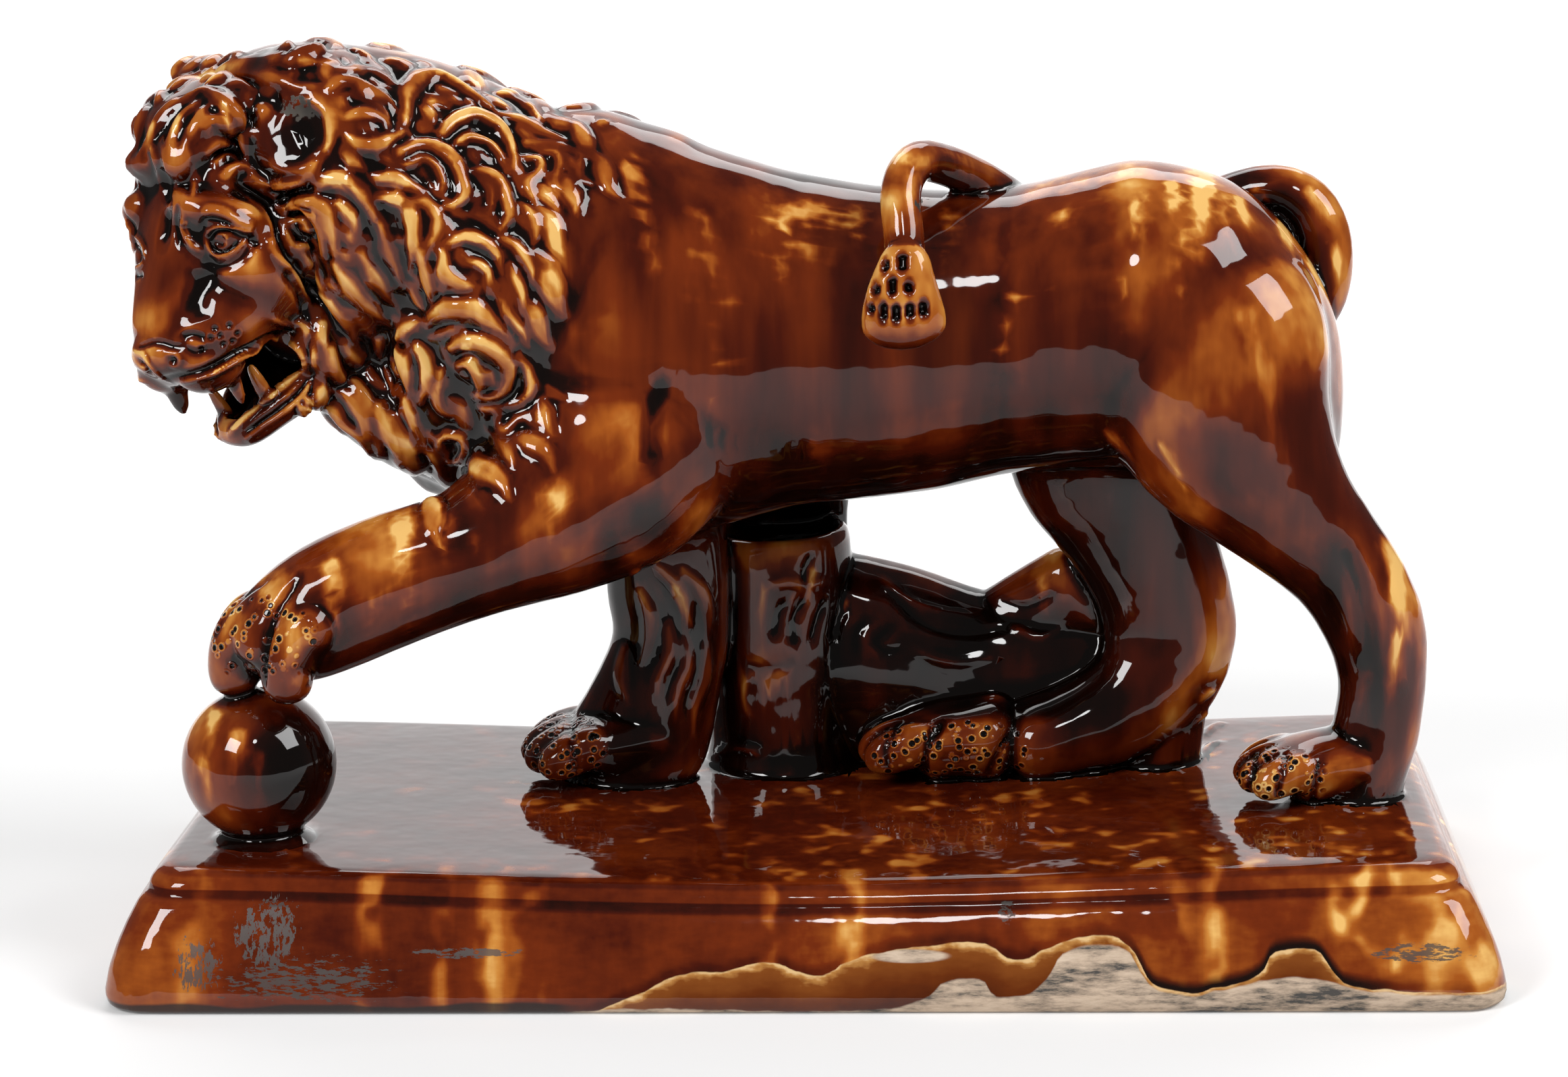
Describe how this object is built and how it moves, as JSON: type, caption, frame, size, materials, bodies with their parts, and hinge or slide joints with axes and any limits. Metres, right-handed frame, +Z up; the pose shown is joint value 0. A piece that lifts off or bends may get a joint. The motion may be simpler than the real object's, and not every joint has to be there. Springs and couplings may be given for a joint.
{
  "type": "pottery lion figure",
  "caption": "Brown-glazed pottery lion walking with its head turned and one forepaw on a ball, a tree stump under its belly, on an oblong moulded base.",
  "frame": {"origin": "middle of the base's flat underside", "axes": "+Z up, +X along the base from the lion's head end to its rump, +Y from the side the head turns to toward the far side"},
  "size_m": [0.356, 0.178, 0.2421],
  "materials": {
    "treacle_glaze": "high gloss brown treacle glaze with amber and cream streaks over buff clay"
  },
  "bodies": {
    "root": {"lion_on_base": "treacle_glaze"}
  },
  "joints": []
}
